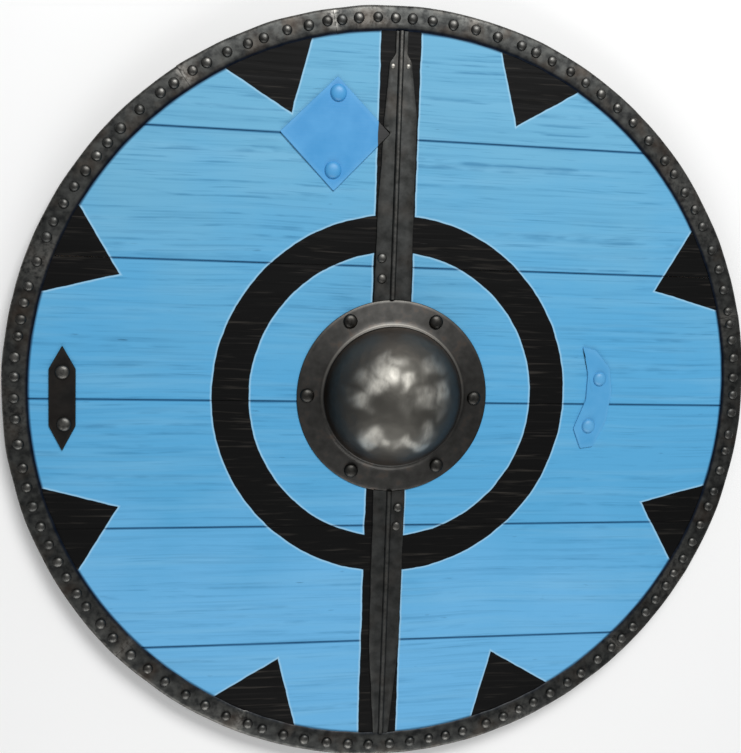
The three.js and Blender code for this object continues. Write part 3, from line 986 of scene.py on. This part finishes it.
@dataclass
class Rim:
    """The riveted iron rim: six channel sections end to end, each with its first end lifted a little.

    The starts, the rivets' places, the joint gap, the pitch and the lift's reach are clock angles, in
    degrees.
    """

    starts: tuple[float, ...] = (-11.5, 76.2, 136.6, 204.0, 226.1, 324.3)
    rivets: tuple[float, ...] = (
        -10.4, -7.8, -4.9, -2.2, 0.4, 3.5, 6.8, 10.4, 14, 18, 20.5, 23.4, 26.8, 29.8, 32.9, 36.4, 39.8,
        43.7, 47.9, 50.6, 54.1, 57.4, 60.5, 64.7, 68.1, 71.6, 75.2, 77.4, 80.1, 83.1, 86.4, 89.3, 92.3, 96,
        98.8, 102.2, 105.9, 108.6, 112, 115.2, 118.4, 121.3, 123.8, 126.7, 129.4, 132.7, 135.4, 137.7,
        140.8, 144.4, 147.2, 150.6, 153.8, 156.5, 159.4, 162.5, 166.6, 169.6, 172.4, 175.6, 179, 182.5,
        185.9, 189.4, 193.1, 196.6, 200.2, 202.7, 206.4, 210.2, 213.8, 217.7, 221.1, 224.6, 228.5, 231.4,
        234.9, 237.4, 240.4, 243.1, 246.1, 249.1, 252.4, 255.4, 258.4, 262, 265.8, 268.9, 272.1, 275,
        278.1, 280.6, 283.1, 285.6, 289.4, 293.2, 295.7, 298.7, 301.6, 304.4, 307.1, 309.6, 312.4, 316.3,
        320.2, 322.6, 325.9, 328.3, 331.7, 335, 337.5, 341.2, 344.5, 347.4)
    rivet_circle: float = 387.2
    rivet_radius: float = 5.4
    rivet_height: float = 3.2
    rivet_levels: int = 7
    rivet_sides: int = 18
    thickness: float = 1.5
    joint_gap: float = 0.05
    pitch: float = 0.45
    lift: float = 0.45
    lift_reach: float = 1.6
    ripple: float = 0.12
    wobble: float = 0.3
    inner_wobble: float = 0.25
    rivet_hammered: float = 0.02
    joint_wear: float = 0.9
    edge_wear: float = 0.35
    handled_wear: float = 0.5

    def section_profile(self, back: float, front: float) -> np.ndarray:
        """Gives the channel's section as radius and height, first along its outside and then back inside.

        Args:
            back: The height of the back face.
            front: The height of the front band's face.

        Returns:
            The points of the closed section.
        """
        under, floor = front - self.thickness, back + self.thickness
        outside = [(RIM_INNER, under + 0.1), (RIM_INNER + 0.3, front - 1.15),
                   (RIM_INNER + 1.4, front - 0.75), (RIM_INNER + 3.2, front - 0.2), (381.0, front),
                   (386.0, front - 0.03), (391.5, front - 0.1), (396.2, front - 0.2), (398.6, front - 0.8),
                   (399.7, front - 2.1), (SHIELD_RADIUS, front - 3.6), (SHIELD_RADIUS, back + 3.0),
                   (399.6, back + 0.9), (398.4, back + 0.1), (390.0, back), (382.0, back)]
        inside = [(382.0, floor), (390.0, floor), (397.4, floor), (398.3, back + 2.2),
                  (398.4, back + 3.2), (398.4, under - 2.9), (398.2, under - 2.0), (397.2, under - 1.3),
                  (395.0, under - 0.8), (391.0, under - 0.4), (386.0, under - 0.12), (381.0, under),
                  (377.4, under), (375.6, under), (374.7, under), (RIM_INNER, under)]
        return np.array(outside + inside)

    def build(self, iron: bpy.types.Material, heads: bpy.types.Material) -> None:
        """Makes every section with its rivets.

        Args:
            iron: The rim's finish.
            heads: The rivet heads' finish.
        """
        ends = [*self.starts[1:], self.starts[0] + 360]
        front = board_faces()[1] + TOUCH + self.thickness
        for number, (start, end) in enumerate(zip(self.starts, ends), start=1):
            node = f"rim_section_{number}"
            low, _ = node_box(node)
            shells = [self.band(start, end, low[2], front, number)]
            mine = [clock for clock in self.rivets if start < clock < end]
            shells += [self.head(clock, front, 100 * number + k) for k, clock in enumerate(mine)]
            place(node + "_riveted", shells, [iron, heads], [node])

    def band(self, start: float, end: float, back: float, front: float, seed: int) -> Shell:
        """Gives one section's channel, gently uneven, with its first end lifted and rubbed.

        Args:
            start: The clock angle that it starts at.
            end: The clock angle that it ends at.
            back: The height of its back face.
            front: The height of its front face.
            seed: The seed of its unevenness.

        Returns:
            The closed surface.
        """
        gap = self.joint_gap / 2
        clock = np.linspace(start + gap, end - gap, int((end - start) / self.pitch))[:, None]
        profile = self.section_profile(back, front)
        radius, height = profile[None, :, 0], profile[None, :, 1]
        x, y = at_clock(clock, radius)
        on_front = height > (back + front) / 2
        near_start = np.clip(1 - (clock - start) / self.lift_reach, 0, 1)
        near_end = np.clip(1 - (end - clock) / self.lift_reach, 0, 1)
        waves = Unevenness(seed, 26.0).at(x, y)
        height = height + on_front * (self.ripple * waves + self.lift * near_start)
        wobble = self.wobble * (Unevenness(seed + 20, 60.0).at(x, y) - 1)
        radius = radius + wobble * (radius > 395) + self.inner_wobble * waves * (radius < 378)
        x, y = at_clock(clock, radius)
        edge = profile[:, 0] > 397
        joints = self.joint_wear * np.maximum(near_start, 0.8 * near_end) ** 1.5
        handled = self.handled_wear * np.clip(Unevenness(7, 150.0).at(x, y) - 0.5, 0, 1)
        wear = on_front * (np.maximum(self.edge_wear * edge[None, :], joints) + handled)
        rings = np.stack(np.broadcast_arrays(x, y, height), axis=-1)
        return loft(rings, Ends.LADDER, np.clip(wear, 0, 1))

    def head(self, clock: float, front: float, seed: int) -> Shell:
        """Gives one domed rivet head, set by hand and so never quite alike.

        Args:
            clock: Its clock angle.
            front: The height of the band.
            seed: The seed of its size and unevenness.

        Returns:
            The closed surface.
        """
        rng = np.random.default_rng(seed)
        radius = self.rivet_radius * rng.uniform(0.94, 1.05)
        height = self.rivet_height * rng.uniform(0.9, 1.1)
        x, y = at_clock(clock, self.rivet_circle + rng.uniform(-0.5, 0.5))
        profile = dome(radius, height, front, self.rivet_levels)
        shell = turned(profile, float(x), float(y), self.rivet_sides, self.rivet_hammered, seed)
        # The crown is paler, partly rubbed and partly painted highlight
        shell.wear = np.clip((shell.points[:, 2] - front) / height - 0.35, 0, 1) * rng.uniform(0.3, 1.0)
        shell.finish = lambda corners: 1
        return shell


def dome(radius: float, height: float, seat: float, levels: int) -> list[tuple[float, float]]:
    """Gives a rivet head's hammered dome, a little fuller than an ellipse and sunk a little into its seat.

    Args:
        radius: Its radius at the seat.
        height: Its height over the seat.
        seat: The height of the face that it sits on.
        levels: How many levels it has.

    Returns:
        Radius and height at each level, from the top down.
    """
    angles = np.linspace(math.pi / 2, 0, levels)
    bulge = [(max(radius * math.cos(a) ** 0.9, 0.06 * radius), height * math.sin(a)) for a in angles]
    return [*((reach, seat + rise) for reach, rise in bulge), (radius, seat - SINK)]


@dataclass
class Boss:
    """The hollow iron boss, a dome beaten up from one sheet with a flat flange round it."""

    step: float = 78.0
    dome_radius: float = 73.6
    springing: float = 2.0
    wall: float = 2.0
    flange_fall: float = 0.9
    sides: int = 192
    levels: int = 40
    dents: float = 0.3
    flange_wave: float = 0.1
    flange_wear_and_highlight: float = 0.5
    step_wear_and_highlight: float = 0.9
    cloud_wander: float = 3.5
    # Where each burnished cloud lies across and up from the middle, its half width and height, its strength
    # The cloud 2 across and 24 up lies where the highlight falls, and is partly painted highlight
    clouds: tuple[tuple[float, float, float, float, float], ...] = (
        (-19.0, 30.0, 12.0, 11.0, 0.8), (-42.0, 4.0, 12.0, 9.0, 1.0), (-32.0, 17.0, 11.0, 11.0, 1.0),
        (2.0, 24.0, 9.0, 6.0, 0.85), (-5.0, 44.0, 8.0, 6.0, 0.35), (33.0, 38.0, 12.0, 7.0, 0.4),
        (23.0, 6.0, 13.0, 9.0, 0.62), (44.0, 11.0, 8.0, 13.0, 0.85), (-28.0, -36.0, 11.0, 9.0, 0.6),
        (-14.0, -43.0, 6.0, 7.0, 0.4), (14.0, -43.0, 17.0, 7.0, 0.6), (29.0, -33.0, 9.0, 9.0, 0.55),
        (3.0, -3.0, 7.0, 13.0, 0.15), (38.0, -8.0, 8.0, 9.0, 0.22))

    def build(self, iron: bpy.types.Material) -> None:
        """Makes the boss.

        Args:
            iron: Its finish.
        """
        low, high = node_box("boss")
        flange, under, top = (high[0] - low[0]) / 2, low[2], high[2]
        front = under + self.wall
        rise = top - front - self.springing
        sphere = (self.dome_radius ** 2 + rise ** 2) / (2 * rise)
        middle = top - sphere
        outside = self.cap(sphere, middle, front + self.springing, self.levels)
        inside = self.cap(sphere - self.wall, middle, front + self.springing, self.levels // 2)[::-1]
        fall = self.flange_fall
        bead = ((0.3, 0.15), (-0.5, 0.5), (-1.4, 0.75), (-2.4, 0.8), (-3.3, 0.75), (-3.9, 1.1))
        fillet = [(self.step + out, front + up) for out, up in bead]
        collar = [(inside[-1][0] + 0.9, under + 1.6), (inside[-1][0] + 2.2, under + 0.3),
                  (inside[-1][0] + 3.4, under)]
        spread = np.linspace(flange - 1.0, self.step + 1.6, 10)
        flat = [(float(r), front - fall * (r - self.step) / (flange - self.step)) for r in spread]
        edge = [(flange - 0.4, under), (flange, under + 0.4), (flange, front - fall - 0.6),
                (flange - 0.3, front - fall - 0.2)]
        shell = turned([*inside, *collar, *edge, *flat, *fillet, *outside], BOSS_X, BOSS_Y, self.sides)
        self.beat(shell, front)
        place("boss_beaten", [shell], [iron], ["boss"], crease=50.0)

    def cap(self, sphere: float, middle: float, foot: float, levels: int) -> list[tuple[float, float]]:
        """Gives the profile of a spherical cap, from its foot up to its pole.

        Args:
            sphere: The sphere's radius.
            middle: The height of the sphere's middle.
            foot: The height of the cap's foot.
            levels: How many levels it has.

        Returns:
            Radius and height at each level.
        """
        full = math.acos((foot - middle) / sphere)
        angles = np.linspace(full, 0, levels + 1)
        return [(max(sphere * math.sin(a), 0.5), middle + sphere * math.cos(a)) for a in angles]

    def beat(self, shell: Shell, front: float) -> None:
        """Beats shallow dents into the dome and rubs the rims of the flange and the dome bright, with painted
        highlight that makes them paler towards the top.

        Args:
            shell: The boss's surface, changed in place.
            front: The height of the flange's face.
        """
        x, y, z = shell.points.T
        radius = np.hypot(x - BOSS_X, y - BOSS_Y)
        on_dome = np.clip((z - front - 4) / 12, 0, 1)
        dent = 0.6 * Unevenness(3, 26.0).at(x, y + 0.6 * z) + 0.4 * Unevenness(4, 13.0).at(x + 0.5 * z, y)
        inward = np.minimum(dent, 0.3) * self.dents * on_dome
        away = shell.points - np.array([BOSS_X, BOSS_Y, front - 20.0])
        away /= np.linalg.norm(away, axis=1)[:, None]
        shell.points = shell.points + away * inward[:, None]
        shell.points[:, 2] += (radius > self.step + 2) * self.flange_wave * Unevenness(5, 50.0).at(x, y)
        flange_rim = np.clip((radius - FLANGE_RADIUS + 1.7) / 1.4, 0, 1) * (z > front - 1.2)
        step_rim = np.exp(-((radius - self.step + 1.8) / 1.3) ** 2) * (z > front - 0.2) * (z < front + 2)
        rubbed_and_highlight = self.crown_clouds(x - BOSS_X, y - BOSS_Y) * (z > front + 14)
        # Painted highlight: the rubbed rims of the flange and the step are made paler towards the top, and
        # the lower ones keep their scale
        handled = np.clip(0.3 + 0.9 * (y - BOSS_Y) / radius, 0.0, 1)
        rims = self.flange_wear_and_highlight * flange_rim + self.step_wear_and_highlight * step_rim
        shell.wear = np.clip(rims * handled + rubbed_and_highlight, 0, 1)

    def crown_clouds(self, x: np.ndarray, y: np.ndarray) -> np.ndarray:
        """Gives how far the crown is burnished at each place, where one cloud is partly painted highlight.

        Args:
            x: Places from the boss's middle.
            y: Places from the boss's middle.

        Returns:
            Between 0, dark scale, and 1, burnished bright.
        """
        x = x + self.cloud_wander * Unevenness(91, 24.0).at(x, y)
        y = y + self.cloud_wander * Unevenness(92, 24.0).at(x, y)
        shown = np.zeros(x.shape)
        for across, up, wide, tall, strength in self.clouds:
            near = ((x - across) / wide) ** 2 + ((y - up) / tall) ** 2
            shown = np.maximum(shown, strength * np.exp(-0.9 * near ** 1.5))
        return shown


@dataclass
class Fixing:
    """One kind of rivet or tack: its node names start alike and share a finish.

    The long ones are riveted over small plates behind the boards.
    """

    prefix: str
    count: int
    slot: Slot
    sheet_thickness: float
    sides: int = 28
    levels: int = 9
    shank_radius: float = 2.5
    small_head: float = 8.0
    small_shank_share: float = 0.34
    end_radius: float = 6.0
    grip_depth: float = 10.0
    hammered: float = 0.012
    crown_wear_and_highlight: float = 0.8

    def build(self, finish: bpy.types.Material, behind: bpy.types.Material) -> None:
        """Makes every fixing of this kind, in the size and place of its solid.

        Args:
            finish: Their heads' finish.
            behind: The finish of their riveted ends behind the boards.
        """
        back, front = board_faces()
        seat = front + TOUCH + self.sheet_thickness + TOUCH
        for number in range(1, self.count + 1):
            node = f"{self.prefix}_{number}"
            low, high = node_box(node)
            x, y = (low[:2] + high[:2]) / 2
            radius = (high[0] - low[0]) / 2
            shank = self.small_shank_share * radius if radius < self.small_head else self.shank_radius
            stem = [(shank, seat - SINK), (shank, low[2])]
            # Rivets that end in the grip's wood keep a plain stem, and long ones are spread over a plate
            if self.grip_depth < low[2] < back:
                end, wide = back - TOUCH, self.end_radius
                stem = [(shank, seat - SINK), (shank, end), (wide - 0.4, end - 0.1), (wide, end - 0.6),
                        (wide - 0.2, low[2]), (0.4, low[2])]
            seed = 700 + number + 10 * len(self.prefix)
            profile = [*dome(radius, high[2] - seat, seat, self.levels), *stem]
            shell = turned(profile, float(x), float(y), self.sides, self.hammered, seed)
            # The crown is paler, partly rubbed and partly painted highlight
            risen = (shell.points[:, 2] - seat) / (high[2] - seat)
            shell.wear = np.clip(risen - 0.3, 0, 1) * self.crown_wear_and_highlight
            shell.finish = lambda corners: 1 if corners[:, 2].max() < back + 1 else 0
            place(node + "_set", [shell], [finish, behind], [node])


@dataclass
class Strap:
    """A forged iron strap: a flat blade with a rounded rib along it."""

    node: str
    rib_x: float
    below: bool
    left: Places
    right: Places
    seed: int
    rib_half_width: float = 3.1
    rib_height: float = 2.3
    thickness: float = 1.6
    pitch: float = 2.0
    edge_wander: float = 0.2
    ripple: float = 0.12
    edge_wear: float = 0.1
    rib_wear: float = 0.2

    def build(self, iron: bpy.types.Material) -> None:
        """Makes the strap.

        Args:
            iron: Its finish.
        """
        low, high = node_box(self.node)
        under = low[2]
        nominal = np.arange(low[1], high[1] + self.pitch / 2, self.pitch)
        left = np.interp(nominal, *zip(*sorted((y, x) for x, y in self.left)))
        right = np.interp(nominal, *zip(*sorted((y, x) for x, y in self.right)))
        left = left + self.edge_wander * Unevenness(self.seed, 40.0).at(nominal, 0 * nominal)
        right = right + self.edge_wander * Unevenness(self.seed + 1, 45.0).at(nominal, 0 * nominal)
        reach = self.rib_half_width
        inner_left, inner_right = self.rib_x - reach, self.rib_x + reach
        # The blade is nowhere narrower than its rib
        left, right = np.minimum(left, inner_left - 0.8), np.maximum(right, inner_right + 0.8)
        face = under + self.thickness
        # The section runs from the left edge over the rib to the right edge, and back underneath
        crest = [(1.0, 0.0), (0.86, 0.45), (0.62, 0.82), (0.3, 0.98), (0.0, 1.0)]
        rib = [(-a, b) for a, b in crest] + [(a, b) for a, b in crest[::-1][1:]]
        top: list[tuple[np.ndarray, Any]] = [
            (left, under + 0.5), (left + 0.15, face - 0.3), (left + 0.6, face),
            (left + 0.5 * (inner_left - left), face), (np.full_like(left, inner_left - 0.4), face)]
        top += [(np.full_like(left, self.rib_x + a * reach), face + b * self.rib_height) for a, b in rib]
        top += [(np.full_like(left, inner_right + 0.4), face), (right - 0.5 * (right - inner_right), face),
                (right - 0.6, face), (right - 0.15, face - 0.3), (right, under + 0.5)]
        x = np.stack([np.broadcast_to(column, left.shape) for column, _ in top], axis=1)
        z = np.stack([np.full_like(left, height) for _, height in top], axis=1)
        x = np.concatenate([x, x[:, ::-1]], axis=1)
        z = np.concatenate([z, np.full_like(z, under)], axis=1)
        share = ((nominal - low[1]) / (high[1] - low[1]))[:, None]
        side = -1 if self.below else 1
        boss_end = BOSS_Y + side * np.sqrt((FLANGE_RADIUS + TOUCH) ** 2 - (x - BOSS_X) ** 2)
        rim_end = side * np.sqrt((RIM_INNER - TOUCH) ** 2 - x ** 2)
        first, last = (rim_end, boss_end) if self.below else (boss_end, rim_end)
        y = first + share * (last - first)
        on_top = z > under + 0.2
        z = z + on_top * self.ripple * Unevenness(self.seed + 2, 22.0).at(x, y)
        rings = np.stack(np.broadcast_arrays(x, y, z), axis=-1)
        wear = np.zeros(rings.shape[:2])
        crest_at = len(top) // 2
        wear[:, :3] = wear[:, len(top) - 3:len(top)] = self.edge_wear
        wear[:, crest_at - 1:crest_at + 2] = self.rib_wear
        place(self.node + "_forged", [loft(rings, Ends.LADDER, wear)], [iron], [self.node])


@dataclass
class MendingPlate:
    """A thin iron plate riveted over a seam."""

    node: str
    corners: Places
    slot: Slot
    seed: int
    thickness: float = 1.5
    rounding: float = 1.6
    lifted: float = 0.5
    rim_wear: float = 0.5
    points_per_corner: int = 5
    points_per_edge: int = 14

    def outline(self) -> np.ndarray:
        """Gives the plate's outline with its corners slightly rounded."""
        corners = np.array(self.corners, float)
        before, after = (np.roll(corners, step, axis=0) - corners for step in (1, -1))
        to_before, to_after = (np.linalg.norm(side, axis=1)[:, None] for side in (before, after))
        reach = np.minimum(self.rounding, 0.4 * np.minimum(to_before, to_after))
        starts, stops = corners + before / to_before * reach, corners + after / to_after * reach
        bend = np.linspace(0, 1, self.points_per_corner)[:, None]
        run = np.linspace(0, 1, self.points_per_edge)[1:-1, None]
        ring = []
        for corner, start, stop, following in zip(corners, starts, stops, np.roll(starts, -1, axis=0)):
            ring.append((1 - bend) ** 2 * start + 2 * bend * (1 - bend) * corner + bend ** 2 * stop)
            ring.append((1 - run) * stop + run * following)
        return np.vstack(ring)

    def build(self, finish: bpy.types.Material) -> None:
        """Makes the plate.

        Args:
            finish: Its finish.
        """
        low, _ = node_box(self.node)
        under = low[2]
        outline = self.outline()
        centre = outline.mean(axis=0)
        out = outline - centre
        length = np.linalg.norm(out, axis=1)[:, None]
        # The rings run out along the underside, up the edge, and back in over the top
        levels: list[tuple[np.ndarray, float]] = [(centre + out * k, 0.0) for k in (0.02, 0.5, 1.0)]
        levels += [(outline, self.thickness - 0.4), (outline - out / length * 0.35, self.thickness)]
        levels += [(centre + out * k, self.thickness) for k in (0.96, 0.88, 0.76, 0.62, 0.46, 0.3, 0.02)]
        rings = []
        for spots, height in levels:
            lift = self.lifted * Unevenness(self.seed, 60.0).at(spots[:, 0], spots[:, 1])
            far = np.linalg.norm(spots - centre, axis=1) / length.max()
            z = under + height + np.maximum(lift * far ** 2, -0.1 if height else 0.0)
            rings.append(np.column_stack([spots, z]))
        stack = np.array(rings)
        wear = np.zeros(stack.shape[:2])
        # The three rings round the upper edge are rubbed
        wear[3:6] = self.rim_wear
        place(self.node + "_riveted", [loft(stack, Ends.POLYGON, wear)], [finish], [self.node])


@dataclass
class Grip:
    """The wooden batten behind the boards, waisted and rounded to a handle behind the hand hole."""

    batten_half_width: float = 25.0
    handle_half_width: float = 15.0
    handle_half_length: float = 52.0
    shoulder_y: float = 78.0
    end_easing: float = 1.2
    end_reach: float = 3.0
    handle_squareness: float = 2.6
    batten_squareness: float = 9.6
    shaving: float = 0.012
    pitch: float = 5.0
    round_points: int = 40
    first_turn: float = 0.04

    def build(self, wood: bpy.types.Material) -> None:
        """Makes the grip as a loft of rounded sections.

        Args:
            wood: Its finish.
        """
        low, high = node_box("grip")
        y = np.arange(low[1], high[1] + self.pitch / 2, self.pitch)
        y[-1] = high[1]
        reach = self.shoulder_y - self.handle_half_length
        ease = np.clip((np.abs(y) - self.handle_half_length) / reach, 0, 1)
        ease = ease * ease * (3 - 2 * ease)
        half_width = self.handle_half_width + (self.batten_half_width - self.handle_half_width) * ease
        end = np.clip((np.abs(y) - high[1] + self.end_reach) / self.end_reach, 0, 1)
        half_width = half_width - self.end_easing * end
        power = self.handle_squareness + (self.batten_squareness - self.handle_squareness) * ease
        angle = np.linspace(0, 2 * math.pi, self.round_points, endpoint=False)[None, :] + self.first_turn
        cos, sin = np.cos(angle), np.sin(angle)
        across = np.sign(cos) * np.abs(cos) ** (2 / power[:, None])
        up = np.sign(sin) * np.abs(sin) ** (2 / power[:, None])
        middle, half_height = (low[2] + high[2]) / 2, (high[2] - low[2]) / 2
        shave = 1 + self.shaving * Unevenness(31, 45.0).at(y[:, None], 14 * angle)
        x = (low[0] + high[0]) / 2 + half_width[:, None] * across * shave
        z = middle + half_height * up
        rings = np.stack(np.broadcast_arrays(x, y[:, None], z), axis=-1)
        place("grip_carved", [loft(rings, Ends.POLYGON)], [wood], ["grip"], crease=45.0)


@dataclass
class Studio:
    """The camera, the lights and the pale floor. Its lengths are metres, as they are in Blender."""

    camera_place: Triple = (-0.21588, 0.13250, 1.05599)
    look: Triple = (0.17803, -0.10732, -0.97816)
    picture_up: Triple = (-0.01428, 0.99365, -0.11162)
    focal_pixels: float = 1000.0
    long_side_pixels: float = 753.0
    sensor: float = 36.0
    floor_half: float = 4.0
    air: str = "#F4F6F8"
    air_strength: float = 0.22

    def build(self) -> None:
        """Sets the studio up."""
        self.add_camera()
        self.add_floor()
        self.add_light("key_softbox", spot=(0.34, 1.64, 1.98), aim=(0.0, 0.1, 0.0), size=(1.4, 0.9),
                       watts=56.0)
        self.add_light("low_softbox", spot=(-0.1, -2.2, 1.1), aim=(0.0, 0.0, 0.0), size=(2.6, 1.3),
                       watts=36.0)
        world = bpy.data.worlds.new("studio_air")
        world.use_nodes = True
        background = world.node_tree.nodes["Background"]
        background.inputs["Color"].default_value = linear(self.air)
        background.inputs["Strength"].default_value = self.air_strength
        bpy.context.scene.world = world
        bpy.context.scene.view_settings.view_transform = "Standard"

    def add_camera(self) -> None:
        """Puts the camera where the photograph was taken from."""
        data = bpy.data.cameras.new("camera")
        data.sensor_width = self.sensor
        data.lens = self.focal_pixels * self.sensor / self.long_side_pixels
        data.clip_start, data.clip_end = 0.01, 50.0
        camera = put("camera", data)
        back = -Vector(self.look).normalized()
        right = Vector(self.picture_up).cross(back).normalized()
        up = back.cross(right)
        turn = Matrix((right, up, back)).transposed().to_4x4()
        camera.matrix_world = Matrix.Translation(Vector(self.camera_place)) @ turn
        bpy.context.scene.camera = camera

    def add_floor(self) -> None:
        """Lays the pale floor."""
        half = self.floor_half
        mesh = bpy.data.meshes.new("floor")
        corners = [(-half, -half, 0), (half, -half, 0), (half, half, 0), (-half, half, 0)]
        mesh.from_pydata(corners, [], [(0, 1, 2, 3)])
        s = Shading("white_studio_floor")
        tone = s.add("TexNoise", {"Vector": s.place, "Scale": 4 * MM, "Detail": 2.0})
        mesh.materials.append(s.finish(s.coats("#F7F7F6", (tone, "#F9F9F9", 1.0)), 0.9, tone, 0.0))
        floor = put("floor", mesh)

    def add_light(self, name: str, spot: Triple, aim: Triple, size: tuple[float, float],
                  watts: float) -> None:
        """Adds a soft rectangular light.

        Args:
            name: The light's name.
            spot: Where it is.
            aim: The point that it faces.
            size: Its width and height.
            watts: Its power.
        """
        data = bpy.data.lights.new(name, "AREA")
        data.shape = "RECTANGLE"
        data.size, data.size_y = size
        data.energy = watts
        light = put(name, data)
        light.location = spot
        light.rotation_euler = (Vector(aim) - Vector(spot)).to_track_quat("-Z", "Y").to_euler()


def build_fittings(dark: bpy.types.Material, heads: bpy.types.Material) -> None:
    """Makes the straps, the mending plates and everything that fastens them.

    Args:
        dark: The straps' finish.
        heads: The rivet heads' finish.
    """
    painted = PaintedIron("oil_painted_sheet_iron").build()
    patch = PaintedIron("oil_painted_thin_patch", blue="#54A1D3", blue_deep="#4C9BCE").build()
    bright = Iron("filed_nail_iron", scale_dark="#A8A59D", scale_light="#C8C5BD", rust="#A29A8E",
                  dull=0.55).build()
    black_iron = Iron("blackened_plate_iron", scale_dark="#2C2B2A", scale_light="#363432", rust="#3A302A",
                      rubbed_and_highlight="#4C4946").build()
    Strap("strap_upper", -7.9, below=False,
          left=((-27.6, 90), (-26.8, 203), (-24.8, 234), (-24.0, 262.2), (-15.9, 270.8), (-23.3, 278),
                (-23.4, 284), (-19.2, 342.7), (-13.8, 350.7), (-13.8, 380)),
          right=((12.0, 90), (11.2, 286), (4.0, 342.7), (-0.9, 350.7), (-0.9, 380)), seed=61).build(dark)
    Strap("strap_lower", -3.9, below=True,
          left=((-21.3, -90), (-20.3, -275), (-13.8, -354.7), (-11.9, -380)),
          right=((13.5, -90), (12.6, -275), (6.1, -354.7), (4.1, -380)), seed=71).build(dark)
    MendingPlate("diamond_plate", ((-72.3, 325.1), (-129.7, 267.2), (-73.5, 210.1), (-16.6, 270.6)),
                 Slot.PAINTED_PLATE, 81).build(painted)
    MendingPlate("hex_plate", ((-341.1, 46.0), (-354.2, 22.5), (-354.2, -35.1), (-341.1, -60.5),
                               (-328.0, -35.1), (-328.0, 22.5)), Slot.DARK_IRON, 82).build(black_iron)
    MendingPlate("patch_plate", ((206.0, 55.2), (221.3, 51.8), (238.2, 32.9), (242.2, 7.0), (237.2, -26.9),
                                 (223.3, -54.8), (209.3, -56.8), (200.3, -34.9), (212.9, -2.5),
                                 (213.6, 24.6), (210.9, 41.0)), Slot.PAINTED_PLATE, 83).build(patch)
    scaled = Iron("scaled_rivet_iron", scale_dark="#262625", scale_light="#333331", rust="#3A302A",
                  rubbed_and_highlight="#5E5C58", dull=0.44, beaten=0.05).build()
    Fixing("boss_rivet", 6, Slot.BOSS_IRON, Boss.wall).build(scaled, dark)
    Fixing("strap_rivet", 4, Slot.DARK_IRON, Strap.thickness).build(heads, dark)
    Fixing("strap_tack", 2, Slot.BRIGHT_IRON, Strap.thickness).build(bright, dark)
    Fixing("diamond_rivet", 2, Slot.PAINTED_PLATE, MendingPlate.thickness).build(painted, dark)
    Fixing("hex_rivet", 2, Slot.DARK_IRON, MendingPlate.thickness).build(heads, dark)
    Fixing("patch_rivet", 2, Slot.PAINTED_PLATE, MendingPlate.thickness).build(patch, dark)


def main() -> None:
    """Builds the studio and the shield."""
    logging.basicConfig(level=logging.INFO, format="%(name)s: %(message)s")
    Studio().build()
    Boards().build()
    dark = Iron("forge_scaled_iron").build()
    rim_iron = Iron("weathered_rim_iron", scale_dark="#2E2F2F", scale_light="#50514F", rust="#54463A",
                    rust_share=0.4, beaten=0.22, mottle_size=8.0, shaded_lip=True).build()
    heads = Iron("set_rivet_iron", dull=0.46, glossy=0.36, beaten=0.05).build()
    Rim().build(rim_iron, heads)
    Boss().build(BurnishedIron().build())
    build_fittings(dark, heads)
    Grip().build(BareSoftwood("handled_ash_grip", along_x=False, light="#9A7448", dark="#6E4D2C",
                              roughness=0.5).build())


if __name__ == "__main__":
    main()
